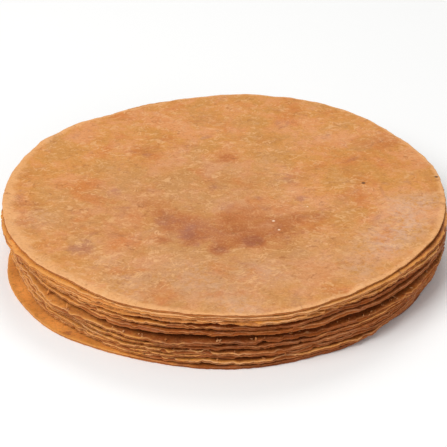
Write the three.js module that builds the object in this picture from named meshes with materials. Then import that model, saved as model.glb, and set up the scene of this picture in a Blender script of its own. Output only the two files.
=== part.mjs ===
import * as THREE from 'three';

// A stack of eleven khakhra: thin, crisp, roasted wheat flatbreads, each lying on the one below.
// Millimetres and degrees, +Z up. The origin is on the stack's axis, in the flat spot that the
// lowest bread rests on. Angle 0 is to the right (+X), 90 is the back and -90 the front.

const breadThickness = 1.1;
const leastGap = 0.4; // air between two breads where they come closest
const restBlend = 0.3; // how softly a bread bends over the one below it
const coreRadius = 56; // inside this circle a bread lies level
const liftRadius = 90; // from here on it has the full lift of its rim

// The rings of points that a bread's two faces are built on, from its middle outwards. They are
// the same for all breads, so facets lie parallel, and only the rim has its own outline.
const innerRings = [
  { radius: 20, points: 12 },
  { radius: 40, points: 24 },
  { radius: 61, points: 48 },
  { radius: 80, points: 96 },
];
const rimPoints = 96;

// Waves round a rim: how many there are in a full turn, and their height.
const outlineWaves = [
  { count: 3, size: 0.45 },
  { count: 5, size: 0.4 },
  { count: 8, size: 0.35 },
  { count: 13, size: 0.3 },
  { count: 21, size: 0.24 },
  { count: 34, size: 0.2 },
];
const heightWaves = [
  { count: 4, size: 0.3 },
  { count: 7, size: 0.26 },
  { count: 11, size: 0.2 },
  { count: 18, size: 0.16 },
  { count: 29, size: 0.1 },
];
const outlineTurn = 2.4; // radians that the outline's waves are turned by from bread to bread
const heightTurn = 1.7;

// The soft swells of a bread's face: their length, the direction they run in, and their height.
const swells = [
  { length: 83, toward: 25, size: 0.36 },
  { length: 61, toward: 118, size: 0.26 },
  { length: 44, toward: 70, size: 0.16 },
];
const swellTurn = 67; // degrees that the swells are turned by from bread to bread

// The breads, lowest first. All heights are of the underside.
//   shift   x and y of the bread's middle
//   core    height at the middle of the stack
//   rim     height of the rim at the right, the back, the left and the front
//   ragged  how much of the outline's waves it has, and ripple how much of the height's
//   swell   how much its face has of the soft swells
//   bends   where the rim stands out or sits up: the angle, half the width, and the two sizes
const breads = [
  {
    shift: [-3.4, -2.9], radius: 89.5, core: 0, rim: [0.5, 0.4, 0.2, 0],
    ragged: 0.4, ripple: 0, swell: 0,
    bends: [
      { at: 180, wide: 30, out: -4.6, up: 0 },
      { at: -150, wide: 24, out: 0.6, up: 0 },
      { at: -55, wide: 30, out: -0.4, up: 0.2 },
    ],
  },
  {
    shift: [0, -1], radius: 89.8, core: 2, rim: [2.1, 2.1, 1.9, 1.8],
    ragged: 0.7, ripple: 0.4, swell: 1,
    bends: [
      { at: -156, wide: 26, out: -2.4, up: 0 },
      { at: -130, wide: 14, out: -1.6, up: 0 },
      { at: -87, wide: 20, out: 1.6, up: 0 },
      { at: -66, wide: 20, out: -0.2, up: 0.4 },
      { at: -22, wide: 34, out: -2.2, up: 0.2 },
    ],
  },
  {
    shift: [0, -0.8], radius: 89.8, core: 4.1, rim: [4.5, 4.2, 4, 3.8],
    ragged: 0.7, ripple: 0.5, swell: 1,
    bends: [
      { at: -165, wide: 30, out: -1.8, up: 0 },
      { at: -108, wide: 24, out: 0.6, up: -0.7 },
      { at: -60, wide: 26, out: 0, up: 0.7 },
      { at: -22, wide: 30, out: -1.2, up: 0 },
    ],
  },
  {
    shift: [0, -0.8], radius: 90, core: 6.2, rim: [6.6, 6.3, 6.2, 5.8],
    ragged: 0.8, ripple: 0.6, swell: 1,
    bends: [
      { at: -165, wide: 30, out: -1.8, up: 0 },
      { at: -108, wide: 22, out: 0.8, up: -0.8 },
      { at: -84, wide: 12, out: 1.2, up: 0 },
      { at: -52, wide: 24, out: 0.4, up: 1 },
      { at: -22, wide: 24, out: -0.8, up: 0 },
    ],
  },
  {
    shift: [0, -0.8], radius: 90.2, core: 8.3, rim: [8.3, 8.4, 8.2, 8.4],
    ragged: 0.7, ripple: 0.6, swell: 1,
    bends: [
      { at: -165, wide: 30, out: -1.6, up: 0 },
      { at: -135, wide: 16, out: 1.6, up: -0.6 },
      { at: -108, wide: 20, out: 0.8, up: -0.4 },
      { at: -50, wide: 36, out: 0, up: -0.5 },
    ],
  },
  {
    shift: [0, -0.8], radius: 90.2, core: 10.4, rim: [9.8, 10.6, 10.5, 10.7],
    ragged: 0.8, ripple: 0.6, swell: 1,
    bends: [
      { at: -165, wide: 26, out: -1.6, up: 0 },
      { at: -133, wide: 12, out: 3, up: -0.4 },
      { at: -106, wide: 16, out: 1.8, up: -0.3 },
      { at: -45, wide: 40, out: 0, up: -1 },
    ],
  },
  {
    shift: [0.2, -0.6], radius: 90, core: 12.8, rim: [13.7, 13, 13.4, 14.1],
    ragged: 0.7, ripple: 0.6, swell: 1,
    bends: [
      { at: -165, wide: 30, out: -1.4, up: 0 },
      { at: -112, wide: 12, out: 1, up: 0 },
      { at: -72, wide: 26, out: 0.6, up: -0.5 },
      { at: -35, wide: 22, out: -0.6, up: -0.3 },
    ],
  },
  {
    shift: [0.2, -0.1], radius: 89.9, core: 15, rim: [15.9, 15.3, 15.6, 16.1],
    ragged: 0.8, ripple: 0.6, swell: 1,
    bends: [
      { at: -165, wide: 30, out: -1, up: 0 },
      { at: -78, wide: 14, out: 1, up: -0.5 },
      { at: -38, wide: 16, out: -1, up: 0.4 },
    ],
  },
  {
    shift: [0, 0], radius: 90.2, core: 17.3, rim: [17.9, 17.5, 18.2, 18.5],
    ragged: 0.8, ripple: 0.4, swell: 1,
    bends: [
      { at: -134, wide: 16, out: 1, up: 0 },
      { at: -81, wide: 14, out: 1.6, up: -0.2 },
      { at: -60, wide: 18, out: -0.6, up: 0 },
      { at: -42, wide: 14, out: -1, up: 0.3 },
      { at: -26, wide: 14, out: 1, up: 0 },
    ],
  },
  {
    shift: [-0.3, 0.5], radius: 90.4, core: 19.4, rim: [19.7, 19.4, 19.8, 20.2],
    ragged: 0.6, ripple: 0.3, swell: 1,
    bends: [
      { at: -152, wide: 28, out: 2.2, up: 0 },
      { at: -50, wide: 30, out: -1.2, up: 0.3 },
      { at: -20, wide: 16, out: 0.6, up: -0.2 },
    ],
  },
  {
    shift: [-0.6, -0.3], radius: 90.2, core: 21.4, rim: [21.9, 21.4, 21.4, 22],
    ragged: 0.5, ripple: 0.4, swell: 0.7,
    bends: [
      { at: 64, wide: 34, out: 1.2, up: 0.2 },
      { at: 118, wide: 34, out: -2.6, up: -0.7 },
      { at: -130, wide: 16, out: -2.2, up: 0 },
      { at: -87, wide: 16, out: 0.6, up: 0 },
      { at: -45, wide: 36, out: -1.6, up: 0 },
    ],
  },
];

const roastedWheat = { roughness: 0.62, metalness: 0 };
const crustColours = ['#c8854c', '#c17c43', '#cf8d53']; // bread by bread in turn
const topCrustColour = '#d69a64';

const radians = THREE.MathUtils.degToRad;

// 1 at the angle `at`, falling softly to 0 at `wide` degrees from it.
function nearness(angle, { at, wide }) {
  const off = THREE.MathUtils.euclideanModulo(angle - at + 180, 360) - 180;
  return Math.abs(off) < wide ? 0.5 + 0.5 * Math.cos(Math.PI * off / wide) : 0;
}

function waveSum(waves, angle, turn) {
  return waves.reduce((sum, { count, size }) => sum + size * Math.cos(count * (radians(angle) + turn)), 0);
}

// The distance from the stack's axis to the rim of a bread whose middle is shifted off the axis.
function rimRadius(number, angle) {
  const { shift: [x, y], radius, ragged, bends } = breads[number];
  const along = x * Math.cos(radians(angle)) + y * Math.sin(radians(angle));
  const across = x * Math.sin(radians(angle)) - y * Math.cos(radians(angle));
  const circle = along + Math.sqrt(radius ** 2 - across ** 2);
  const bend = bends.reduce((sum, one) => sum + one.out * nearness(angle, one), 0);
  return circle + bend + ragged * waveSum(outlineWaves, angle, outlineTurn * (number + 1));
}

// The height of the rim's underside: tilt and saddle from the four heights, then waves and bends.
function rimHeight(number, angle) {
  const { rim: [right, back, left, front], ripple, bends } = breads[number];
  const level = (right + back + left + front) / 4;
  const tilt = (right - left) / 2 * Math.cos(radians(angle)) + (back - front) / 2 * Math.sin(radians(angle));
  const saddle = (right + left - back - front) / 4 * Math.cos(2 * radians(angle));
  const bend = bends.reduce((sum, one) => sum + one.up * nearness(angle, one), 0);
  return level + tilt + saddle + bend + ripple * waveSum(heightWaves, angle, heightTurn * (number + 1));
}

// Swells fade out where the rim's own height takes over.
function swellHeight(number, radius, angle) {
  const { swell } = breads[number];
  const fade = 1 - THREE.MathUtils.smoothstep(radius, coreRadius, liftRadius);
  return swell * fade * swells.reduce((sum, { length, toward, size }) => {
    const run = radius * Math.cos(radians(angle - toward - swellTurn * number));
    return sum + size * Math.sin(2 * Math.PI * run / length + number);
  }, 0);
}

// The height of a bread's underside. Where its own form would touch the bread below, it rests on it.
function undersideHeight(number, radius, angle) {
  const { core } = breads[number];
  const lift = THREE.MathUtils.smoothstep(radius, coreRadius, liftRadius);
  const own = core + (rimHeight(number, angle) - core) * lift + swellHeight(number, radius, angle);
  if (number === 0) return Math.max(own, 0);
  const floor = undersideHeight(number - 1, radius, angle) + breadThickness + leastGap;
  return (own + floor + Math.hypot(own - floor, restBlend)) / 2;
}

// One bread: a face below, the same face a thickness higher, and a wall round the rim between them.
function breadGeometry(number) {
  const rings = [...innerRings, { points: rimPoints }];
  const positions = [];
  const addPoint = (radius, angle, rise) => positions.push(
    radius * Math.cos(radians(angle)),
    radius * Math.sin(radians(angle)),
    undersideHeight(number, radius, angle) + rise,
  );
  for (const rise of [0, breadThickness]) {
    addPoint(0, 0, rise);
    for (const { radius, points } of rings) {
      for (let i = 0; i < points; i += 1) {
        const angle = 360 * i / points;
        addPoint(radius ?? rimRadius(number, angle), angle, rise);
      }
    }
  }
  const topStart = positions.length / 6;
  const rimStart = topStart - rimPoints;

  const index = [];
  for (const [a, b, c] of faceTriangles(rings)) {
    index.push(a, c, b);
    index.push(topStart + a, topStart + b, topStart + c);
  }
  for (let i = 0; i < rimPoints; i += 1) {
    const here = rimStart + i;
    const next = rimStart + (i + 1) % rimPoints;
    index.push(here, next, topStart + next);
    index.push(here, topStart + next, topStart + here);
  }
  const geometry = new THREE.BufferGeometry();
  geometry.setAttribute('position', new THREE.Float32BufferAttribute(positions, 3));
  geometry.setIndex(index);
  geometry.computeVertexNormals();
  return geometry;
}

// The triangles of one face, seen from above: a fan round the middle point, then band after band.
function faceTriangles(rings) {
  const fanPoints = rings[0].points;
  const triangles = [];
  for (let i = 0; i < fanPoints; i += 1) triangles.push([0, 1 + i, 1 + (i + 1) % fanPoints]);
  let innerStart = 1;
  for (let ring = 1; ring < rings.length; ring += 1) {
    const inner = rings[ring - 1].points;
    triangles.push(...bandTriangles(innerStart, inner, rings[ring].points));
    innerStart += inner;
  }
  return triangles;
}

// The band between two rings; the outer one has as many points as the inner one, or twice as many.
function bandTriangles(innerStart, inner, outer) {
  const outerStart = innerStart + inner;
  const step = outer / inner;
  const triangles = [];
  for (let i = 0; i < inner; i += 1) {
    const here = innerStart + i;
    const next = innerStart + (i + 1) % inner;
    const outHere = outerStart + step * i;
    const outMiddle = outerStart + (step * i + 1) % outer;
    const outNext = outerStart + (step * (i + 1)) % outer;
    triangles.push([here, outHere, outMiddle], [here, outMiddle, next]);
    if (step === 2) triangles.push([next, outMiddle, outNext]);
  }
  return triangles;
}

function breadMesh(number) {
  const isTop = number === breads.length - 1;
  const colour = isTop ? topCrustColour : crustColours[number % crustColours.length];
  const mesh = new THREE.Mesh(
    breadGeometry(number),
    new THREE.MeshStandardMaterial({ color: colour, ...roastedWheat }),
  );
  mesh.name = `khakhra_${String(number + 1).padStart(2, '0')}`;
  return mesh;
}

const stack = new THREE.Group();
breads.forEach((_, number) => stack.add(breadMesh(number)));

export default stack;
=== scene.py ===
import math

import bpy
import numpy as np
from mathutils import Matrix, Vector


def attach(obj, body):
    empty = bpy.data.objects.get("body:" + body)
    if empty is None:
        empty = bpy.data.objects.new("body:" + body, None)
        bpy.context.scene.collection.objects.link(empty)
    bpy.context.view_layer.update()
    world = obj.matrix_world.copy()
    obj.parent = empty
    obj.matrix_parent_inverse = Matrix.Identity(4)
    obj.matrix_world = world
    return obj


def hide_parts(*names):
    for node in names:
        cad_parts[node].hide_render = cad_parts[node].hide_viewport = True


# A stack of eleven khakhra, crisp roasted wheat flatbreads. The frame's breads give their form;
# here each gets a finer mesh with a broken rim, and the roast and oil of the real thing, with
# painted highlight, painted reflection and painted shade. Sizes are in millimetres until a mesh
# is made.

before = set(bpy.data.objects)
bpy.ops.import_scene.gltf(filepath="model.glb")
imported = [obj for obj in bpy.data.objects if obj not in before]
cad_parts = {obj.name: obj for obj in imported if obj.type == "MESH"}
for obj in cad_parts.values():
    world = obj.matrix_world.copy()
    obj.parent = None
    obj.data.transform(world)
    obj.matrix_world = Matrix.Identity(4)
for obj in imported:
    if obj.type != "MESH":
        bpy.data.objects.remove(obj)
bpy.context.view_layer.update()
breadNames = sorted(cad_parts)
print("frame:", len(breadNames), "breads loaded")

# Camera first: the photo looks down on the stack from the front.
cameraLook = {
    "target": (-0.86, -6.75, 11.5),  # mm, what the middle of the picture shows
    "distance": 650,
    "elevation": 30.97,  # degrees above the floor
    "viewAngle": 16.03,  # degrees across the square picture
    "sensorWidth": 36,
}


def makeCamera(look):
    rise = math.radians(look["elevation"])
    target = Vector(look["target"]) / 1000
    data = bpy.data.cameras.new("photoCamera")
    data.sensor_width = look["sensorWidth"]
    data.angle = math.radians(look["viewAngle"])
    camera = bpy.data.objects.new("photoCamera", data)
    camera.location = target + Vector((0, -math.cos(rise), math.sin(rise))) * look["distance"] / 1000
    camera.rotation_euler = (math.pi / 2 - rise, 0, 0)
    bpy.context.collection.objects.link(camera)
    bpy.context.scene.camera = camera


makeCamera(cameraLook)

# The rings round the stack's axis that the frame's breads are built on.
frameGrid = {
    "rings": [(0, 1), (20, 12), (40, 24), (61, 48), (80, 96)],  # radius and points
    "ringWidth": 0.5,  # how near its ring a point lies
    "rimPoints": 96,
    "rimFrom": 81.5,  # everything further out is the rim
    "rimSmoothing": 2,  # rounds
}


def around(values, angle):
    # a smooth closed curve through evenly spaced values, read at any angle in degrees
    place = np.asarray(angle) % 360 / 360 * len(values)
    i = np.floor(place).astype(int)
    t = place - i
    a, b, c, d = (values[(i + step) % len(values)] for step in (-1, 0, 1, 2))
    return b + t / 2 * (c - a + t * (2 * a - 5 * b + 4 * c - d + t * (3 * (b - c) + d - a)))


def readBread(name):
    # the height of a bread's underside at each ring's points, its rim last, and the rim's radius
    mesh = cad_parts[name].data
    points = np.empty(3 * len(mesh.vertices))
    mesh.vertices.foreach_get("co", points)
    x, y, z = points.reshape(-1, 3).T * 1000
    distance = np.hypot(x, y)
    turn = np.degrees(np.arctan2(y, x)) / 360
    rings = []
    for radius, count in frameGrid["rings"]:
        rings.append((abs(distance - radius) < frameGrid["ringWidth"], count))
    rings.append((distance > frameGrid["rimFrom"], frameGrid["rimPoints"]))
    heights = []
    for onRing, count in rings:
        place = np.round(turn[onRing] * count).astype(int) % count
        lowest = np.full(count, np.inf)
        np.minimum.at(lowest, place, z[onRing])
        heights.append(lowest)
    rim = np.zeros(frameGrid["rimPoints"])
    np.maximum.at(rim, place, distance[onRing])
    for _ in range(frameGrid["rimSmoothing"]):
        rim = (np.roll(rim, 1) + 2 * rim + np.roll(rim, -1)) / 4
    return {"heights": heights, "rim": rim}


breads = [readBread(name) for name in breadNames]
topNumber = len(breads) - 1


def smooth(x):
    x = np.clip(x, 0, 1)
    return x * x * (3 - 2 * x)


def frameHeight(bread, radius, angle):
    # the underside of the frame's bread, as a smooth face through its rings
    stops = [np.full_like(radius, ring) for ring, _ in frameGrid["rings"]]
    stops.append(around(bread["rim"], angle))
    levels = [around(heights, angle) for heights in bread["heights"]]
    slopes = [np.zeros_like(radius)]
    for j in range(1, len(stops)):
        k = min(j + 1, len(stops) - 1)
        slopes.append((levels[k] - levels[j - 1]) / (stops[k] - stops[j - 1]))
    result = levels[-1].copy()
    for j in range(len(stops) - 1):
        span = stops[j + 1] - stops[j]
        t = (radius - stops[j]) / span
        curve = (levels[j] * (1 + 2 * t) * (1 - t) ** 2 + slopes[j] * span * t * (1 - t) ** 2
                 + levels[j + 1] * t * t * (3 - 2 * t) - slopes[j + 1] * span * t * t * (1 - t))
        result = np.where((t >= 0) & (t < 1), curve, result)
    return result


# Each bread's look, lowest first. Threes are for the left side, the front and the right side of
# the stack. In the roast, band, crumb and shade they are partly painted light: paler on the left
# side, where the key light falls, and darker at the front and on the right side, which lie in shade.
#   roast    0 pale to 1 dark, partly painted shade
#   band     mm of paler, drier dough at the rim, partly painted light
#   crumb and highlight  how pale the broken edge is: its crumb, and a painted highlight on its upper lip
#   shade    painted shade: how brown the groove, the lower lip of its edge and its underside are
#   swell    mm that the rim is thicker than the rest
#   ragged   mm of roughness of the outline
#   crinkle  mm of ripples at the rim
#   chips    bites broken out of the rim, and as many flakes that stand out of it
#   dips     where the rim hangs or lifts: angle, half width in degrees, mm
#   reach    where the rim stands out further than the frame's, or less far: angle, half width, mm
breadLooks = [
    {"roast": (-0.8, 1.2, 1.2), "band": (3, 0, 0), "crumbAndHighlight": (0.3, 0.1, 0), "shade": (0.4, 1, 1),
     "swell": (0, 0.15, 0.3), "ragged": (0.05, 0.15, 0.1), "crinkle": 0, "chips": 0, "dips": [],
     "reach": [(-148, 18, -0.9), (-112, 24, -1.5), (-60, 9, 0.8), (-46, 9, -0.9)]},
    {"roast": (0.1, 0.7, 0.6), "band": (7, 2.5, 0), "crumbAndHighlight": (0.7, 0.9, 0.1), "shade": (0.85, 1, 1),
     "swell": (0.2, 0.35, 0.5), "ragged": (0.2, 0.36, 0.15), "crinkle": 0.2, "chips": 14,
     "dips": [(-120, 13, -0.5), (-100, 7, -0.3), (-73, 10, -1)],
     "reach": [(-108, 20, 1), (-60, 9, 0.8), (-46, 9, -0.9), (-22, 9, 1.2), (-6, 8, -0.8)]},
    {"roast": (0.1, 0.95, 0.6), "band": (7, 0, 0), "crumbAndHighlight": (0.5, 0.3, 0.2), "shade": (0.85, 1, 0.7),
     "swell": (0.2, 0.2, 0.5), "ragged": (0.18, 0.3, 0.12), "crinkle": 0.22, "chips": 14,
     "dips": [(-120, 13, -0.9), (-73, 10, -0.7)],
     "reach": [(-106, 18, 0.6), (-22, 9, 1), (-6, 8, -0.8)]},
    {"roast": (0.1, 0.85, 0.6), "band": (7, 0.4, 0), "crumbAndHighlight": (0.7, 0.5, 0.1), "shade": (0.85, 1, 0.7),
     "swell": (0.2, 0.3, 0.5), "ragged": (0.2, 0.4, 0.12), "crinkle": 0.26, "chips": 16,
     "dips": [(-120, 13, -1.3), (-80, 22, -0.6), (-60, 6, 0.2)], "reach": []},
    {"roast": (0.3, 0.95, 0.2), "band": (4, 0, 2), "crumbAndHighlight": (0.5, 0.2, 0.3), "shade": (0.85, 1, 1),
     "swell": (0.2, 0.2, 0.5), "ragged": (0.18, 0.3, 0.12), "crinkle": 0.22, "chips": 12,
     "dips": [(-128, 6, 0.4), (-120, 13, -1.5), (-101, 8, 0.9), (-84, 5, -0.3), (-72, 7, -0.3)],
     "reach": [(-34, 22, 0.4)]},
    {"roast": (0.4, 0.9, 0.4), "band": (3, 0, 1), "crumbAndHighlight": (0.6, 0.15, 0.1), "shade": (0.85, 1, 1),
     "swell": (0.1, 0.2, 0.3), "ragged": (0.2, 0.42, 0.15), "crinkle": 0.3, "chips": 16,
     "dips": [(-120, 13, -1.7), (-112, 5, -0.4), (-98, 3, 0.3), (-85, 5, -0.9), (-88, 1.6, 0.4),
              (-82, 1.6, 0.4)], "reach": [(-34, 24, 1.0)]},
    {"roast": (0.5, 0.7, 0.65), "band": (2.5, 0, 0), "crumbAndHighlight": (0.4, 0.3, 0.3), "shade": (0.85, 1, 1),
     "swell": (0.2, 0.2, 0.5), "ragged": (0.16, 0.28, 0.12), "crinkle": 0.2, "chips": 12,
     "dips": [(-120, 14, -1.5), (-88, 24, 0.35), (-60, 6, 0.3)], "reach": []},
    {"roast": (0.2, 0.85, 0.95), "band": (6, 0, 0), "crumbAndHighlight": (0.5, 0.35, 0), "shade": (0.85, 0.9, 1),
     "swell": (0.2, 0, 0.4), "ragged": (0.18, 0.3, 0.12), "crinkle": 0.22, "chips": 14,
     "dips": [(-119, 14, -1.4), (-86, 20, 0.2)], "reach": []},
    {"roast": (0.1, 0, 0.5), "band": (7, 6, 3), "crumbAndHighlight": (0.4, 1, 0.5), "shade": (0.6, 0.15, 0.8),
     "swell": (0.3, 0.2, 0.5), "ragged": (0.2, 0.42, 0.3), "crinkle": 0.2, "chips": 18,
     "dips": [(-119, 14, -1.2), (-86, 16, 0.6)], "reach": [(-90, 60, 0.5)]},
    {"roast": (0.1, 0, 0.6), "band": (3, 8, 1.5), "crumbAndHighlight": (0.15, 1, 0.15), "shade": (0.6, 0.1, 0.5),
     "swell": (0.6, 0.65, 0.6), "ragged": (0.18, 0.22, 0.15), "crinkle": 0.14, "chips": 10,
     "dips": [(-119, 14, -0.8)], "reach": [(-90, 60, 1.0), (-40, 45, 0.7), (118, 34, -1.2)]},
    {"roast": (0.2, 0.2, 0.2), "band": (9, 2.2, 4), "crumbAndHighlight": (0.6, 0.4, 0.1), "shade": (1.2, 1.5, 1.4),
     "swell": (0, 0, 0), "ragged": (0.06, 0.08, 0.05), "crinkle": 0.05, "chips": 4, "dips": [],
     "reach": [(112, 26, -0.6), (86, 12, 0.8), (54, 16, 0.6)]},
]

# What the breads share.
breadMake = {
    "radius": 90,
    "thickness": 1.1,
    "thicknessSpread": 0.25,  # what the rim gains or loses
    "gap": 0.12,  # least air between two breads
    "gapBlend": 0.12,  # how softly one bends over the one below
    "rimWidth": 9,  # the crinkled zone
    "crinkleSides": (0.7, 1, 0.6),  # share of the crinkle: left side, front, right side
    "chipSides": (0.7, 1, 0.4),
    "chipWidth": (0.4, 1.8),  # half width in degrees
    "chipDepth": (0.2, 0.9),
    "flakeWidth": (0.4, 1.0),
    "flakeLength": (0.15, 0.6),
    "chipRoughness": 0.15,  # mm of roughness from which bites and flakes have their full size
    "chipSeed": 400,
    "split": 1.3,  # how far the upper half of the dough has flaked back, at most
    "splitRoughness": 0.4,  # mm of roughness where it flakes back that far
    "splitSteepness": 1.6,  # how sharply the flaked stretches begin
    "splitFrom": 0.3,  # more leaves fewer of them
    "crumble": 0.45,  # of the roughness, from one point of the rim to the next
    "crumbleSeed": 2000,
    "lipWave": 0.5,  # of the roughness, in and out of each lip of the broken edge
    "grooveDepth": (0.9, 0.6),  # share of its mean depth, and how far it wavers
    "angles": 1200,
    "faceCell": 1.0,  # of the top face
    "reliefFade": 5,  # the zone at the rim where the relief of the top face fades out
    "roastSpread": 0.18,
    "roastFade": 40,  # the roast is evener nearer to the middle than this
    "narrowBand": 1.5,  # a pale band narrower than this is weaker
    "leastBand": 0.01,
    "crumbCover": 0.75,  # mean share of the broken edge that is pale, crumb with a painted highlight
    "leftSide": (-160, 88),  # angle and half width, in degrees
    "rightSide": (-22, 76),
    "calmBack": (110, 95),  # where the photo's outline is smooth
    "calm": 0.7,  # share of the roughness that is missing there
}

# Random waves round a rim, each in parts: values in a full turn, seed, strength.
rimWaves = {
    "crinkle": [(64, 100, 1), (150, 200, 0.7), (400, 300, 0.5)],
    "outline": [(170, 500, 1), (400, 600, 0.7)],
    "thickness": [(110, 700, 1)],
    "roast": [(14, 900, 1)],
    "crumbAndHighlight": [(52, 1000, 0.5), (300, 1050, 0.4)],
    "split": [(46, 1100, 1), (210, 1200, 0.6)],
    "lip": [(520, 1300, 1)],
    "groove": [(90, 1500, 1)],
}


def rimWave(name, offset, angle):
    # one of the waves; the offset to its seeds gives each bread, and each lip, its own
    wave = 0
    for count, seed, strength in rimWaves[name]:
        values = np.random.default_rng(seed + offset).uniform(-1, 1, count)
        wave = wave + strength * around(values, angle)
    return wave


def degreesFrom(at, angle):
    return (angle - at + 180) % 360 - 180


def nearness(angle, at, halfWidth):
    return smooth(1 - abs(degreesFrom(at, angle)) / halfWidth)


def bySide(values, angle):
    # one number round the rim from those of the left side, the front and the right side
    left, front, right = values
    return (front + (left - front) * nearness(angle, *breadMake["leftSide"])
            + (right - front) * nearness(angle, *breadMake["rightSide"]))


def shifts(places, angle):
    # the dips or the reach of a look, at any angle
    return sum(size * nearness(angle, at, halfWidth) for at, halfWidth, size in places)


def roughness(number, angle):
    # mm of raggedness round a rim, less at the back
    calm = 1 - breadMake["calm"] * nearness(angle, *breadMake["calmBack"])
    return bySide(breadLooks[number]["ragged"], angle) * calm


def nearRim(bread, radius, angle):
    return smooth(1 - (around(bread["rim"], angle) - radius) / breadMake["rimWidth"])


def thickness(number, radius, angle):
    swell = bySide(breadLooks[number]["swell"], angle)
    uneven = breadMake["thicknessSpread"] * rimWave("thickness", number, angle)
    return breadMake["thickness"] + (swell + uneven) * nearRim(breads[number], radius, angle)


def underside(number, radius, angle):
    # the frame's underside with a crinkled rim, bent up where the bread below is in the way
    look = breadLooks[number]
    crinkle = look["crinkle"] * bySide(breadMake["crinkleSides"], angle) * rimWave("crinkle", number, angle)
    lift = crinkle + shifts(look["dips"], angle)
    own = frameHeight(breads[number], radius, angle) + lift * nearRim(breads[number], radius, angle)
    if number == 0:
        return np.maximum(own, 0)
    floor = faceHeight(number - 1, radius, angle) + breadMake["gap"]
    return (own + floor + np.hypot(own - floor, breadMake["gapBlend"])) / 2


def faceHeight(number, radius, angle):
    return underside(number, radius, angle) + thickness(number, radius, angle)


def brokenRim(number, angle):
    # the frame's outline, made ragged, with small bites and flakes where crumbs have broken off
    look = breadLooks[number]
    draw = np.random.default_rng(breadMake["chipSeed"] + number)
    rough = roughness(number, angle)
    rim = around(breads[number]["rim"], angle) + rough * rimWave("outline", number, angle)
    rim = rim + shifts(look["reach"], angle)
    chipSize = bySide(breadMake["chipSides"], angle) * np.minimum(1, rough / breadMake["chipRoughness"])
    for _ in range(look["chips"]):
        for sign, width, size in ((-1, "chipWidth", "chipDepth"), (1, "flakeWidth", "flakeLength")):
            off = degreesFrom(draw.uniform(0, 360), angle)
            halfWidth = draw.uniform(*breadMake[width])
            bite = sign * draw.uniform(*breadMake[size]) * np.clip(1 - (off / halfWidth) ** 2, 0, 1)
            rim = rim + bite * chipSize
    return rim


def flakedBack(number, angle):
    # where the upper half of the dough has broken off further in than the lower half
    wave = rimWave("split", number, angle)
    share = smooth(breadMake["splitSteepness"] * wave - breadMake["splitFrom"])
    return breadMake["split"] * share * roughness(number, angle) / breadMake["splitRoughness"]


# Shallow blisters that the roasting pan has pressed flat, on the top bread's face.
blisters = {
    "count": 90,
    "within": 86,  # mm from the middle
    "radius": (2.0, 6.5),
    "height": (0.05, 0.16),
    "steepness": 1.4,
    "seed": 11,
}
faceWaves = [(7, 21, 0.05), (2.6, 22, 0.025)]  # mm across, seed, mm high
latticeSize = 64  # cells before the noise repeats


def blisterHeight(x, y):
    draw = np.random.default_rng(blisters["seed"])
    height = np.zeros_like(x)
    for _ in range(blisters["count"]):
        out = blisters["within"] * math.sqrt(draw.uniform())
        turn = draw.uniform(0, math.tau)
        size = draw.uniform(*blisters["radius"])
        away = np.hypot(x - out * math.cos(turn), y - out * math.sin(turn)) / size
        height += draw.uniform(*blisters["height"]) * smooth(blisters["steepness"] * (1 - away))
    return height


def faceNoise(x, y, size, seed):
    # smooth random heights from -1 to 1 on a square lattice of `size` mm
    table = np.random.default_rng(seed).uniform(-1, 1, (latticeSize, latticeSize))
    i = np.floor(x / size).astype(int)
    j = np.floor(y / size).astype(int)
    u = smooth(x / size - i)
    v = smooth(y / size - j)
    low, high = (
        table[(i + step) % latticeSize, j % latticeSize] * (1 - v)
        + table[(i + step) % latticeSize, (j + 1) % latticeSize] * v for step in (0, 1))
    return low * (1 - u) + high * u


def faceRelief(x, y):
    relief = blisterHeight(x, y)
    for size, seed, height in faceWaves:
        relief = relief + height * faceNoise(x, y, size, seed)
    return relief


# A bread's section from the middle of its face, out over the rim and back under it. A ring on a
# face has its share of the rim's radius; one near the rim has how far it lies in from the broken
# rim. Its level is 1 on the face and 0 underneath. Baking parts the dough into two skins, so the
# rim has an upper and a lower lip with a groove between them.
rimSection = [  # mm in from the rim, level, paleness (crumb and painted highlight), painted shade, lip (1 upper, 2 lower)
    (4.6, 1, 0, 0, 0), (3.2, 1, 0, 0, 0), (2.1, 1, 0, 0, 0), (1.2, 1, 0, 0, 0),
    (0.55, 0.99, 0.15, 0, 1), (0.22, 0.95, 0.7, 0, 1), (0.04, 0.87, 1, 0, 1), (0, 0.77, 1, 0.1, 1),
    (0.06, 0.67, 0.6, 0.4, 1), (0.3, 0.58, 0.1, 0.9, 0), (0.45, 0.5, 0, 1, 0), (0.34, 0.42, 0, 1, 0),
    (0.1, 0.33, 0.4, 0.5, 2), (0.06, 0.22, 0.35, 0.6, 2), (0.16, 0.12, 0.1, 0.9, 2),
    (0.45, 0.04, 0, 1, 0), (1.1, 0, 0, 1, 0), (2.2, 0, 0, 1, 0), (3.8, 0, 0, 1, 0),
]
upperHalf = 0.55  # the level above which the dough has flaked back
finePoints = breadMake["angles"]
# share of the rim's radius, and what the number of points is divided by
lowerFaceRings = [(0.1, 16), (0.25, 8), (0.45, 4), (0.66, 2), (0.78, 2), (0.87, 2), (0.92, 1)]
topFaceBands = [(0.02, 0.13, 16), (0.13, 0.27, 8), (0.27, 0.54, 4), (0.54, 0.9, 2), (0.9, 0.94, 1)]


def faceRings(number):
    # the rings inside the rim, close together only on the top bread, whose face shows whole
    if number < topNumber:
        return [(share, finePoints // part) for share, part in lowerFaceRings]
    rings = []
    for start, stop, part in topFaceBands:
        steps = round((stop - start) * breadMake["radius"] / breadMake["faceCell"])
        rings += [(start + (stop - start) * i / steps, finePoints // part) for i in range(steps)]
    return rings


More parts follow.
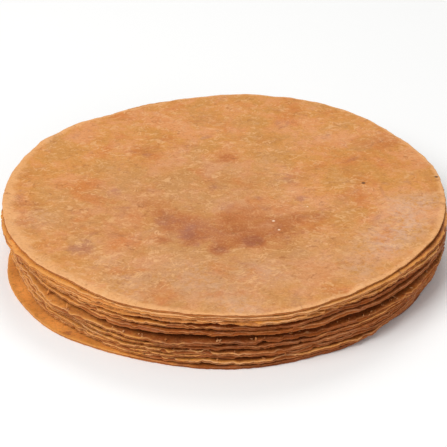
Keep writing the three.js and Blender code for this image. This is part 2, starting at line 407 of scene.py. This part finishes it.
def breadRings(number):
    rings = []
    for share, points in faceRings(number):
        rings.append({"share": share, "points": points, "level": 1, "pale": 0, "shade": 0})
    for inset, level, pale, shade, lip in rimSection:
        rings.append({"inset": inset, "points": finePoints, "level": level, "pale": pale,
                      "shade": shade, "lip": lip})
    for share, points in reversed(faceRings(0)):
        rings.append({"share": share, "points": points, "level": 0, "pale": 0, "shade": 1})
    return rings


def ringRadius(number, ring, angle):
    if "share" in ring:
        return ring["share"] * around(breads[number]["rim"], angle)
    inset = ring["inset"]
    if ring["lip"]:
        seed = breadMake["crumbleSeed"] + 100 * number + round(100 * ring["level"])
        draw = np.random.default_rng(seed)
        ragged = roughness(number, angle)
        inset = inset + breadMake["lipWave"] * ragged * rimWave("lip", 20 * number + ring["lip"], angle)
        inset = inset + breadMake["crumble"] * ragged * draw.uniform(-1, 1, len(angle))
    elif 0 < ring["level"] < 1:
        mean, waver = breadMake["grooveDepth"]
        inset = inset * (mean + waver * rimWave("groove", number, angle))
    if ring["level"] > upperHalf:
        inset = inset + flakedBack(number, angle)
    return brokenRim(number, angle) - inset


def breadPoints(number, rings):
    # the points of all rings between the two middle points that close the bread, as columns
    far = breadMake["radius"]
    middles = {"radius": (0, 0), "angle": (0, 0), "inset": (far, far), "level": (1, 0),
               "pale": (0, 0), "shade": (0, 1)}
    columns = {key: [[first]] for key, (first, _) in middles.items()}
    for ring in rings:
        angle = 360 * np.arange(ring["points"]) / ring["points"]
        radius = ringRadius(number, ring, angle)
        columns["radius"].append(radius)
        columns["angle"].append(angle)
        columns["inset"].append(brokenRim(number, angle) - radius)
        for key in ("level", "pale", "shade"):
            columns[key].append(np.full(len(angle), ring[key], float))
    return {key: np.concatenate([*columns[key], [last]]) for key, (_, last) in middles.items()}


def bandFaces(start, count, nextCount):
    # the faces between two rings, of which one may have twice as many points as the other
    nextStart = start + count
    if count < nextCount:
        i = np.arange(count)
        here, following = start + i, start + (i + 1) % count
        outs = [nextStart + (2 * i + step) % nextCount for step in (0, 1, 2)]
        return [[here, outs[0], outs[1]], [here, outs[1], following], [following, outs[1], outs[2]]]
    if count > nextCount:
        i = np.arange(nextCount)
        here, following = nextStart + i, nextStart + (i + 1) % nextCount
        outs = [start + (2 * i + step) % count for step in (0, 1, 2)]
        return [[here, outs[1], outs[0]], [here, following, outs[1]], [following, outs[2], outs[1]]]
    i = np.arange(count)
    here, following = start + i, start + (i + 1) % count
    outHere, outNext = nextStart + i, nextStart + (i + 1) % count
    return [[here, outHere, outNext, following]]


def breadFaces(rings):
    faces = []
    start = 1
    for ring, following in zip(rings, rings[1:]):
        for band in bandFaces(start, ring["points"], following["points"]):
            faces += np.stack(band, axis=1).tolist()
        start += ring["points"]
    firstCount, lastCount = rings[0]["points"], rings[-1]["points"]
    last = start + lastCount
    faces += [(0, 1 + i, 1 + (i + 1) % firstCount) for i in range(firstCount)]
    faces += [(last, start + (i + 1) % lastCount, start + i) for i in range(lastCount)]
    return faces


def breadReadings(number, at):
    # what the material reads at each point: the roast, partly painted shade, the pale band at
    # the rim, the pale broken edge with a painted highlight on its upper lip, and the painted
    # shade in the groove, on the lower lip and underneath
    look = breadLooks[number]
    angle = at["angle"]
    patches = rimWave("roast", number, angle) * smooth(at["radius"] / breadMake["roastFade"])
    width = bySide(look["band"], angle)
    strength = np.clip(width / breadMake["narrowBand"], 0, 1)
    share = 1 - at["inset"] / (width + breadMake["leastBand"])
    band = share * strength - (1 - at["level"])
    cover = np.clip(breadMake["crumbCover"] + rimWave("crumbAndHighlight", number, angle), 0, 1)
    return {
        "roast": bySide(look["roast"], angle) + breadMake["roastSpread"] * patches,
        "band": band,
        # the pale crumb of the broken edge, with a painted highlight on its upper lip
        "paleness": at["pale"] * bySide(look["crumbAndHighlight"], angle) * cover,
        # painted shade in the groove, on the lower lip and underneath
        "shadeUnder": at["shade"] * bySide(look["shade"], angle),
    }


def makeMesh(name, points, faces, readings):
    # points in mm; readings are named numbers at the points, which the material reads
    mesh = bpy.data.meshes.new(name)
    mesh.from_pydata((points / 1000).tolist(), [], faces)
    mesh.shade_smooth()
    for reading, values in readings.items():
        layer = mesh.attributes.new(reading, "FLOAT", "POINT")
        layer.data.foreach_set("value", values.astype(np.float32))
    piece = bpy.data.objects.new(name, mesh)
    bpy.context.collection.objects.link(piece)
    return piece


def makeBread(number):
    rings = breadRings(number)
    at = breadPoints(number, rings)
    turn = np.radians(at["angle"])
    x = at["radius"] * np.cos(turn)
    y = at["radius"] * np.sin(turn)
    z = (underside(number, at["radius"], at["angle"])
         + at["level"] * thickness(number, at["radius"], at["angle"]))
    if number == topNumber:
        fade = smooth(at["inset"] / breadMake["reliefFade"])
        z = z + faceRelief(x, y) * fade * (at["level"] == 1)
    points = np.stack([x, y, z], axis=1)
    return makeMesh(f"bread_{number + 1:02d}", points, breadFaces(rings), breadReadings(number, at))


pieces = []
for number, name in enumerate(breadNames):
    piece = makeBread(number)
    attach(piece, "root")
    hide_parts(name)
    pieces.append(piece)
    print("bread", number + 1, "made,", len(piece.data.polygons), "faces")

# Crumbs and flakes broken off the rims, which lie on the ledges; a few stand on edge.
looseCrumbs = {
    "seed": 31,
    "tries": 110,  # of which those that fit under the bread above are kept
    "onBreads": (1, 3, 5, 5, 5, 8),
    "halfWidth": (0.15, 0.5),
    "slenderness": (1, 2.2),
    "thickness": 0.25,
    "corners": (5, 8),  # at least, and fewer than
    "cornerTurn": 0.35,  # how unevenly they are spaced
    "cornerReach": (0.55, 1.15),
    "inset": (0.3, 2.4),  # mm in from the rim that they lie on
    "angles": (-185, 0),
    "lean": 14,
    "lift": 0.03,  # air below a crumb
    "leastRoom": 0.05,  # air above it
    "openRoom": 1,  # what counts as its room beyond the bread above
    "coverReach": 0.5,  # how far beyond that bread's rim it still counts as covered
    "roast": (0.1, 1),
    "pale": (0.1, 0.7),
    # standing flakes: bread, angle, mm in from its rim, half width, half height, lean in degrees
    "standing": [(5, -83, 0.7, 0.3, 1.0, 80), (1, -76, 0.6, 0.28, 0.95, 84), (5, -131, 1.9, 0.3, 1.4, 62),
                 (5, -139, 2.2, 0.35, 1.4, 58), (1, -92, 0.6, 0.3, 0.6, 60), (3, -88, 0.6, 0.25, 0.5, 50)],
    "standingTurn": (-25, 25),  # degrees
    "standingRoast": 0.4,
    "standingPale": 0.1,
}


def plate(draw, halfWidth, halfLength, lean, turn):
    # an irregular little plate about its middle: the corners of one face, then of the other
    count = int(draw.integers(*looseCrumbs["corners"]))
    uneven = draw.uniform(-looseCrumbs["cornerTurn"], looseCrumbs["cornerTurn"], count)
    spin = math.tau * (np.arange(count) + uneven) / count
    reach = draw.uniform(*looseCrumbs["cornerReach"], count)
    corners = []
    for z in (-looseCrumbs["thickness"] / 2, looseCrumbs["thickness"] / 2):
        for r, t in zip(reach, spin):
            corners.append(Vector((r * halfWidth * math.cos(t), r * halfLength * math.sin(t), z)))
    turned = Matrix.Rotation(turn, 3, "Z") @ Matrix.Rotation(math.radians(lean), 3, "X")
    return np.array([turned @ corner for corner in corners])


def settle(number, corners, angle, inset):
    # moves a plate onto a bread: its corners in the stack, and its room below the next bread
    out = around(breads[number]["rim"], angle) - inset
    x = corners[:, 0] + out * math.cos(math.radians(angle))
    y = corners[:, 1] + out * math.sin(math.radians(angle))
    radius = np.hypot(x, y)
    turn = np.degrees(np.arctan2(y, x))
    ground = np.max(faceHeight(number, radius, turn) - corners[:, 2])
    z = corners[:, 2] + ground + looseCrumbs["lift"]
    covered = radius < around(breads[number + 1]["rim"], turn) + looseCrumbs["coverReach"]
    room = np.where(covered, underside(number + 1, radius, turn) - z, looseCrumbs["openRoom"])
    return np.stack([x, y, z], axis=1), room.min()


def drawPlates(draw):
    # the standing flakes first, then the loose crumbs
    plates = []
    for number, angle, inset, halfWidth, halfHeight, lean in looseCrumbs["standing"]:
        turn = math.radians(angle + 90 + draw.uniform(*looseCrumbs["standingTurn"]))
        corners = plate(draw, halfWidth, halfHeight, lean, turn)
        plates.append(settle(number, corners, angle, inset)[0])
    for _ in range(looseCrumbs["tries"]):
        number = int(draw.choice(looseCrumbs["onBreads"]))
        halfWidth = draw.uniform(*looseCrumbs["halfWidth"])
        halfLength = halfWidth * draw.uniform(*looseCrumbs["slenderness"])
        lean = draw.uniform(0, looseCrumbs["lean"])
        turn = draw.uniform(0, math.tau)
        corners = plate(draw, halfWidth, halfLength, lean, turn)
        angle = draw.uniform(*looseCrumbs["angles"])
        inset = draw.uniform(*looseCrumbs["inset"])
        placed, room = settle(number, corners, angle, inset)
        if room > looseCrumbs["leastRoom"]:
            plates.append(placed)
    return plates


def makeCrumbs():
    draw = np.random.default_rng(looseCrumbs["seed"])
    plates = drawPlates(draw)
    faces = []
    roast = []
    pale = []
    start = 0
    for number, corners in enumerate(plates):
        count = len(corners) // 2
        low = [start + i for i in range(count)]
        high = [start + count + i for i in range(count)]
        faces += [low[::-1], high]
        faces += [(low[i], low[(i + 1) % count], high[(i + 1) % count], high[i]) for i in range(count)]
        stands = number < len(looseCrumbs["standing"])
        itsRoast = looseCrumbs["standingRoast"] if stands else draw.uniform(*looseCrumbs["roast"])
        itsPale = looseCrumbs["standingPale"] if stands else draw.uniform(*looseCrumbs["pale"])
        roast += [itsRoast] * len(corners)
        pale += [itsPale] * len(corners)
        start += len(corners)
    none = np.zeros(start)
    readings = {"roast": np.array(roast), "band": none, "paleness": np.array(pale), "shadeUnder": none}
    piece = makeMesh("crumbs", np.concatenate(plates), faces, readings)
    piece.data.shade_flat()
    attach(piece, "root")
    print("crumbs:", len(plates), "made")
    return piece


crumbs = makeCrumbs()


def linear(hexColour):
    # an sRGB hex colour as the linear colour that the shaders take
    parts = [int(hexColour[i:i + 2], 16) / 255 for i in (1, 3, 5)]
    return (*(p / 12.92 if p <= 0.04045 else ((p + 0.055) / 1.055) ** 2.4 for p in parts), 1)


def addNode(tree, kind, settings=None, inputs=None, stops=None):
    # settings are the node's own fields; an input is a value or the socket that feeds it
    node = tree.nodes.new(kind)
    for key, value in (settings or {}).items():
        setattr(node, key, value)
    for key, value in (inputs or {}).items():
        if isinstance(value, bpy.types.NodeSocket):
            tree.links.new(value, node.inputs[key])
        else:
            node.inputs[key].default_value = value
    for i, (place, colour) in enumerate(stops or []):
        element = node.color_ramp.elements[i] if i < 2 else node.color_ramp.elements.new(place)
        element.position = place
        element.color = linear(colour)
    return node


# The noise behind the patches and marks: seed, detail, roughness, distortion and how far it is
# drawn out along x. Their sizes are in the finishes.
grains = {
    "hue": (1, 6, 0.65, 0.3, 1),
    "orange": (2, 6, 0.62, 0.5, 1),
    "toast": (3, 6, 0.6, 0.6, 1),
    # mauve painted reflection on the oil
    "oilReflection": (4, 5, 0.6, 0.4, 1),
    "rim": (5, 4, 0.55, 0, 1),
    "streak": (6, 5, 0.65, 0.5, 1.8),
    "wispPatch": (7, 3, 0.55, 0, 1),
    "bran": (8, 3, 0.65, 0, 1),
    "oil": (9, 4, 0.6, 0.5, 1),
    "ripple": (10, 3, 0.5, 0.6, 1),
    "freckle": (12, 3, 0.6, 0.8, 1),
    "sheen": (14, 5, 0.65, 0, 1),
    "sheenGap": (15, 4, 0.7, 0.6, 1),
    "wisp": (16, 2, 0.5, 1.4, 1.2),
    "wispGap": (17, 2, 0.55, 0, 1.3),
    # dark curls of painted shade, as in creases
    "creaseShade": (18, 2, 0.5, 1.4, 1.2),
    "creaseShadeGap": (19, 2, 0.55, 0, 1.3),
}

# Roasted whole wheat dough, rolled thin and pressed flat on a hot pan until crisp, with a little
# oil. To the eye: a dry, papery tan face that turns from olive to pink, orange and brown toasted
# patches, pale squiggles of flour, a warm band where the rim dried first, and a pale broken edge.
# Painted on it: highlights and mauve reflections on the oil, a highlight on the broken edge, and
# shade in creases, in the groove of the edge, underneath, and where the key light is strongest.
topFinish = {
    "name": "roastedWheatTop",
    "olive": "#c8883f",
    "tan": "#d38d44",
    "blush": "#da9157",
    # painted shade on the middle and front of the top face, where the key light is strongest
    "faceShade": "#b88559",
    "orange": "#c96f2e",
    "toasted": "#b0622b",
    "scorched": "#97502f",
    # mauve painted reflection of the lights on the oil
    "oilReflection": "#a86a50",
    # painted highlight: the reflection of the lights on the oil
    "sheen": "#d4a585",
    "rim": "#e6a86c",
    # the pale crumb of the broken edge, with a painted highlight on its upper lip
    "crumbAndHighlight": "#e2ab7c",
    "wisp": "#e8b27a",
    "bran": "#a1602c",
    "dot": "#5c3a22",
    "flour": "#f3cfae",
    # painted shade for the groove, the lower lip and the underside
    "shadeUnder": "#a85a14",
    "hueSize": 15,  # mm across a patch of one tan
    "orangeSize": 17,
    "toastSize": 26,
    "streakSize": 6,
    "oilReflectionSize": 10,
    "sheenSize": 9,
    "sheenGapSize": 3,
    "rimSize": 6,
    "freckleSize": 3.4,
    "wispSize": 4.6,  # mm between the pale curls of flour
    "wispGapSize": 3.22,
    "wispPatchSize": 20,
    "branSize": 0.9,  # bran flakes, as coarse as they need to be to show
    "rippleSize": 3.2,
    "oilSize": 18,
    # where a colour shows: the range of its value, and how much of it shows at either end
    "ranges": {
        "hue": (0.34, 0.66, 0, 1),
        "sheenPatch": (0.55, 0.75, 0, 0.3),
        "sheenGap": (0.3, 0.6, 0, 1),
        "orange": (0.52, 0.76, 0, 0.6),
        "toasted": (0.62, 0.95, 0, 0.85),
        "scorched": (0.85, 1.2, 0, 0.8),
        "oilReflection": (0.64, 0.84, 0, 0.6),
        "rim": (0.8, 1.4, 0, 0.85),
        "freckle": (0.56, 0.74, 0, 0.55),
        "freckleOnToast": (0.5, 0.9, 0.8, 1.6),
        "wisp": (0.08, 0, 0, 1),
        # dark curls of painted shade, as in creases
        "creaseShade": (0.04, 0, 0, 0.3),
        "curlGap": (0.44, 0.58, 0, 1),
        "wispPatch": (0.35, 0.6, 0.25, 0.62),
        "wispOffToast": (0.95, 0.6, 0.4, 1),
        "branDark": (0.5, 0.72, 0, 0.3),
        "branPale": (0.5, 0.28, 0, 0.25),
        # painted shade in the groove, on the lower lip and underneath, scorched where the roast is dark
        "shadeUnder": (0, 1, 0, 0.9),
        "shadeUnderOnRoast": (0.75, 1.2, 0, 0.7),
        "oil": (0.42, 0.62, 0.68, 0.45),  # from dry to oily, as roughness
    },
    # zones: x, y and radius in mm, strength
    "toasts": [(-26, -16, 14, 0.16), (-16, -27, 17, 0.32), (-5, -33, 17, 0.32), (7, -38, 15, 0.32),
               (17, -32, 16, 0.26), (4, -20, 18, 0.22), (29, -23, 17, 0.2), (41, -15, 14, 0.16),
               (50, -7, 14, 0.14), (11, -38.5, 6, 0.55), (-3, -45, 7, 0.5), (-13, -39, 8, 0.3),
               (-25, -38, 6, 0.24), (-15, -34, 5, 0.2), (1, 29, 9, 0.3), (30, 12, 16, 0.14),
               (-35, 34, 12, 0.14)],
    "oranges": [(-38, 36, 9, 0.16), (-31, 31, 7, 0.16), (-24, 44, 9, 0.1), (-56, 2, 11, 0.08),
                (19, 45, 13, 0.16), (1, 29, 8, 0.2), (53, 25, 11, 0.12), (71, 44, 10, 0.14),
                (52, -2, 14, 0.14), (28, 72, 16, 0.14), (44, 73, 10, 0.16), (-47, 66, 12, 0.12),
                (0, -22, 12, 0.14), (30, -23, 16, 0.16), (-36, -40, 12, 0.1)],
    # zones of mauve painted reflection on the oil
    "oilReflections": [(-15, -29, 7, 0.14), (-24, -21, 9, 0.14), (-3, -43, 8, 0.16), (12, -38, 9, 0.06),
               (21, -14, 9, 0.16), (33, -6, 8, 0.14), (22, -3, 7, 0.1), (-44, -24, 8, 0.12),
               (-57, -45, 9, 0.1), (23, 60, 9, 0.08), (11, -38.5, 9, -0.2), (-2, -45.5, 8, -0.2)],
    # zones of painted highlight, the reflection of the lights on the oil
    "sheens": [(84, -8, 14, 0.6), (-36, -64, 16, 0.55), (61, -40, 19, 0.9), (72, -26, 18, 0.9),
               (72, -10, 15, 0.7), (50, -58, 16, 0.6), (-55, -42, 12, 0.4), (-46, -54, 11, 0.45),
               (-12, -66, 24, 0.75), (14, -60, 18, 0.65), (-74, -22, 14, 0.4), (6, -86, 20, 0.6),
               (-34, -80, 16, 0.5)],
    # zones of painted shade on the top face
    "faceShades": [(-30, -20, 70, 0.45), (10, -50, 60, 0.5), (0, 10, 45, 0.3), (-20, -74, 30, 0.3)],
    "faceShadeMost": 0.4,
    "dots": [(57, 7, 1.2, 1.6), (87.5, 11, 1.2, 1.6)],  # charred
    "flours": [(19, -23, 0.9, 1.6), (21, -30, 0.75, 1.6), (33, -12, 0.5, 1.6)],
    "spotMost": 0.9,  # how well a dot or a speck of flour covers
    # how far the pale crumb and its painted highlight cover the edge
    "palenessMost": 0.9,
    "toastParts": (0.4, 0.6, 0.5),  # of the broad patches, the streaks and the bread's roast, which is partly painted shade
    "orangeByRoast": 0.12,
    "oilReflectionByToast": 0.12,
    "rimWaver": 1.2,
    "bumpParts": (0.08, 0.06, 0.22),  # of the bran, the curls and the ripples
    "bumpStrength": 0.6,
    "bumpDepth": 0.001,  # m
    "ior": 1.45,  # near that of cooking oil
    "specular": 0.25,  # the dry crumb between the oily spots shines less
}

# The same dough on the breads below: more brown and orange, in smaller patches, and darker, partly
# as painted shade on the edges and ledges that lie in the stack's shade.
lowerFinish = dict(
    topFinish,
    name="roastedWheat",
    olive="#aa6626",
    tan="#b3682a",
    blush="#b76e37",
    orange="#b0541b",
    toasted="#91481a",
    scorched="#682f10",
    # mauve painted reflection of the lights on the oil
    oilReflection="#8f523a",
    # painted light on the left side of the stack, where the key light falls
    sheen="#ffaa52",
    rim="#dd9443",
    # the pale crumb of the broken edge, with a painted highlight on its upper lip
    crumbAndHighlight="#e6b07c",
    wisp="#c98a50",
    bran="#6e3614",
    # painted shade for the groove, the lower lip and the underside
    shadeUnder="#964b12",
    hueSize=7,
    orangeSize=8,
    toastSize=12,
    streakSize=4,
    oilReflectionSize=6,
    wispSize=2.4,
    wispGapSize=1.68,
    ranges={**topFinish["ranges"], "sheenGap": (0.2, 0.5, 0, 1), "orange": (0.52, 0.76, 0, 0.75)},
    toasts=[],
    oranges=[(-90, -22, 5, 0.3), (-80, -48, 5, 0.3), (-62, -72, 6, 0.3)],
    # a spot of mauve painted reflection on a ledge at the left
    oilReflections=[(-60, -70, 4, 0.3)],
    # zones of painted light on the left side of the stack
    sheens=[(-90, -12, 22, 0.95), (-82, -42, 22, 0.95), (-66, -66, 22, 0.85), (-44, -82, 20, 0.6),
            (-22, -92, 16, 0.3)],
    faceShades=[],
    dots=[],
    flours=[],
)


def makeRoastedWheat(finish):
    material = bpy.data.materials.new(finish["name"])
    material.use_nodes = True
    tree = material.node_tree
    tree.nodes.clear()
    place = addNode(tree, "ShaderNodeTexCoord").outputs["Object"]
    scaled = addNode(tree, "ShaderNodeVectorMath", {"operation": "SCALE"}, {0: place, "Scale": 1000})
    inMm = scaled.outputs[0]
    flat = addNode(tree, "ShaderNodeVectorMath", {"operation": "MULTIPLY"}, {0: inMm, 1: (1, 1, 0)})
    fromAbove = flat.outputs[0]
    roast, band, paleness, shadeUnder = (
        addNode(tree, "ShaderNodeAttribute", {"attribute_name": key}).outputs["Fac"]
        for key in ("roast", "band", "paleness", "shadeUnder"))

    def grain(name, size):
        # one of the noises at its size in mm, moved so that no two are alike
        seed, detail, rough, distortion, stretch = grains[name]
        moved = addNode(tree, "ShaderNodeVectorMath", {"operation": "MULTIPLY_ADD"}, {
            0: inMm, 1: (1 / stretch, 1, 1), 2: (40 * seed, 70 * seed, 0)})
        return addNode(tree, "ShaderNodeTexNoise", {"noise_dimensions": "3D"}, {
            "Vector": moved.outputs[0], "Scale": 1 / size, "Detail": detail, "Roughness": rough,
            "Distortion": distortion}).outputs["Fac"]

    def addUp(*parts):
        # the sum of values, each times its weight
        total = 0.0
        for value, weight in parts:
            total = addNode(tree, "ShaderNodeMath", {"operation": "MULTIPLY_ADD"}, {
                0: value, 1: weight, 2: total}).outputs[0]
        return total

    def addZones(value, zones):
        # adds each zone's strength at its middle, down to nothing at its radius
        for x, y, radius, strength in zones:
            away = addNode(tree, "ShaderNodeVectorMath", {"operation": "DISTANCE"}, {
                0: fromAbove, 1: (x, y, 0)})
            near = addNode(tree, "ShaderNodeMapRange", {"interpolation_type": "SMOOTHSTEP"}, {
                "Value": away.outputs["Value"], "From Min": radius, "From Max": 0, "To Min": 0,
                "To Max": strength})
            value = addNode(tree, "ShaderNodeMath", {"operation": "ADD"}, {
                0: value, 1: near.outputs[0]}).outputs[0]
        return value

    def mask(*parts):
        # the product of its parts: a value as it is, or a value and the name of its range
        product = None
        for part in parts:
            if isinstance(part, tuple):
                value, rangeName = part
                low, high, least, most = finish["ranges"][rangeName]
                part = addNode(tree, "ShaderNodeMapRange", {"interpolation_type": "SMOOTHSTEP"}, {
                    "Value": value, "From Min": low, "From Max": high, "To Min": least,
                    "To Max": most}).outputs[0]
            if product is None:
                product = part
            else:
                product = addNode(tree, "ShaderNodeMath", {"operation": "MULTIPLY"}, {
                    0: product, 1: part}).outputs[0]
        return product

    def coat(base, colourName, *parts):
        # a colour over another, as strong as the mask of its parts
        return addNode(tree, "ShaderNodeMix", {"data_type": "RGBA"}, {
            0: mask(*parts), 6: base, 7: linear(finish[colourName])}).outputs[2]

    def zoneCoat(base, colourName, zones, most):
        # a colour over another in its zones alone
        if not zones:
            return base
        share = addNode(tree, "ShaderNodeMath", {"operation": "MINIMUM"}, {
            0: addZones(0.0, zones), 1: most}).outputs[0]
        return coat(base, colourName, share)

    def curls(name, rangeName):
        # short curled strokes: the ridges of a coarse noise, broken up by a finer one
        centred = addNode(tree, "ShaderNodeMath", {"operation": "SUBTRACT"}, {
            0: grain(name, finish["wispSize"]), 1: 0.5})
        ridge = addNode(tree, "ShaderNodeMath", {"operation": "ABSOLUTE"}, {0: centred.outputs[0]})
        gaps = grain(name + "Gap", finish["wispGapSize"])
        return mask((ridge.outputs[0], rangeName), (gaps, "curlGap"))

    hue = mask((grain("hue", finish["hueSize"]), "hue"))
    colour = addNode(tree, "ShaderNodeValToRGB", inputs={0: hue}, stops=[
        (0.1, finish["olive"]), (0.9, finish["blush"]), (0.5, finish["tan"])]).outputs[0]

    # painted highlight on the oil of the top face; on the breads below, painted light on the left side
    sheen = addZones(mask((grain("sheen", finish["sheenSize"]), "sheenPatch")), finish["sheens"])
    sheenGaps = grain("sheenGap", finish["sheenGapSize"])
    colour = coat(colour, "sheen", sheen, (sheenGaps, "sheenGap"))
    # painted shade on the middle and front of the top face, where the key light is strongest
    colour = zoneCoat(colour, "faceShade", finish["faceShades"], finish["faceShadeMost"])

    orange = addUp((grain("orange", finish["orangeSize"]), 1), (roast, finish["orangeByRoast"]))
    colour = coat(colour, "orange", (addZones(orange, finish["oranges"]), "orange"))

    patchPart, streakPart, roastPart = finish["toastParts"]
    toast = addUp((grain("toast", finish["toastSize"]), patchPart),
                  (grain("streak", finish["streakSize"]), streakPart), (roast, roastPart))
    toast = addZones(toast, finish["toasts"])
    colour = coat(colour, "toasted", (toast, "toasted"))
    colour = coat(colour, "scorched", (toast, "scorched"))

    # mauve painted reflection of the lights on the oil, more on the toasted patches
    oilReflection = addUp((grain("oilReflection", finish["oilReflectionSize"]), 1), (toast, finish["oilReflectionByToast"]))
    colour = coat(colour, "oilReflection", (addZones(oilReflection, finish["oilReflections"]), "oilReflection"))

    rim = addUp((band, 1), (grain("rim", finish["rimSize"]), finish["rimWaver"]))
    colour = coat(colour, "rim", (rim, "rim"))

    freckles = grain("freckle", finish["freckleSize"])
    colour = coat(colour, "bran", (freckles, "freckle"), (toast, "freckleOnToast"))
    # dark curls of painted shade, as in creases, in the colour of bran
    colour = coat(colour, "bran", curls("creaseShade", "creaseShade"))
    wispPatches = grain("wispPatch", finish["wispPatchSize"])
    wisps = mask(curls("wisp", "wisp"), (wispPatches, "wispPatch"), (toast, "wispOffToast"))
    colour = coat(colour, "wisp", wisps)

    bran = grain("bran", finish["branSize"])
    colour = coat(colour, "bran", (bran, "branDark"))
    colour = coat(colour, "wisp", (bran, "branPale"))

    # painted shade in the groove, on the lower lip and underneath, scorched where the roast is dark
    colour = coat(colour, "shadeUnder", (shadeUnder, "shadeUnder"))
    colour = coat(colour, "scorched", shadeUnder, (roast, "shadeUnderOnRoast"))
    # the pale crumb of the broken edge, with a painted highlight on its upper lip
    colour = coat(colour, "crumbAndHighlight", paleness, finish["palenessMost"])
    colour = zoneCoat(colour, "dot", finish["dots"], finish["spotMost"])
    colour = zoneCoat(colour, "flour", finish["flours"], finish["spotMost"])

    branPart, wispPart, ripplePart = finish["bumpParts"]
    height = addUp((bran, branPart), (wisps, wispPart), (grain("ripple", finish["rippleSize"]), ripplePart))
    bump = addNode(tree, "ShaderNodeBump", inputs={
        "Strength": finish["bumpStrength"], "Distance": finish["bumpDepth"], "Height": height})
    shader = addNode(tree, "ShaderNodeBsdfPrincipled", inputs={
        "Base Color": colour, "Roughness": mask((grain("oil", finish["oilSize"]), "oil")),
        "IOR": finish["ior"], "Specular IOR Level": finish["specular"], "Normal": bump.outputs[0]})
    addNode(tree, "ShaderNodeOutputMaterial", inputs={"Surface": shader.outputs[0]})
    return material


topMaterial = makeRoastedWheat(topFinish)
lowerMaterial = makeRoastedWheat(lowerFinish)
crumbs.data.materials.append(lowerMaterial)
for number, piece in enumerate(pieces):
    piece.data.materials.append(topMaterial if number == topNumber else lowerMaterial)
print("materials: roasted wheat made")

# A plain pale floor of matt paper, too rough to mirror the lights, in soft studio light that is
# brightest from the upper left. Places and sizes in m.
studio = {
    "floor": "#fafaf9",
    "floorSize": 4.0,
    "floorRoughness": 0.9,
    "world": 0.38,
    "lights": {  # place, size, power
        "keyLight": ((-0.6, -0.5, 0.95), 0.9, 10.5),
        "backLight": ((0.1, 0.9, 1.0), 0.6, 4.5),
        "fillLight": ((0.8, -0.9, 0.35), 0.8, 3.4),
    },
}


def makeFloor():
    half = studio["floorSize"] / 2
    corners = [(-half, -half, 0), (half, -half, 0), (half, half, 0), (-half, half, 0)]
    mesh = bpy.data.meshes.new("studioFloor")
    mesh.from_pydata(corners, [], [(0, 1, 2, 3)])
    floor = bpy.data.objects.new("studioFloor", mesh)
    bpy.context.collection.objects.link(floor)
    material = bpy.data.materials.new("mattPaperFloor")
    material.use_nodes = True
    shader = material.node_tree.nodes["Principled BSDF"]
    shader.inputs["Base Color"].default_value = linear(studio["floor"])
    shader.inputs["Roughness"].default_value = studio["floorRoughness"]
    mesh.materials.append(material)


def makeWorld():
    world = bpy.data.worlds.new("softRoom")
    world.use_nodes = True
    background = world.node_tree.nodes["Background"]
    background.inputs["Color"].default_value = (1, 1, 1, 1)
    background.inputs["Strength"].default_value = studio["world"]
    bpy.context.scene.world = world


def makeLight(name, place, size, power):
    # a round soft light that looks at the middle of the stack's foot
    data = bpy.data.lights.new(name, "AREA")
    data.shape = "DISK"
    data.size = size
    data.energy = power
    light = bpy.data.objects.new(name, data)
    light.location = place
    light.rotation_euler = (-Vector(place)).to_track_quat("-Z", "Y").to_euler()
    bpy.context.collection.objects.link(light)


makeFloor()
makeWorld()
for name, (place, size, power) in studio["lights"].items():
    makeLight(name, place, size, power)
bpy.context.scene.view_settings.view_transform = "Standard"
print("studio: floor, world and lights made")
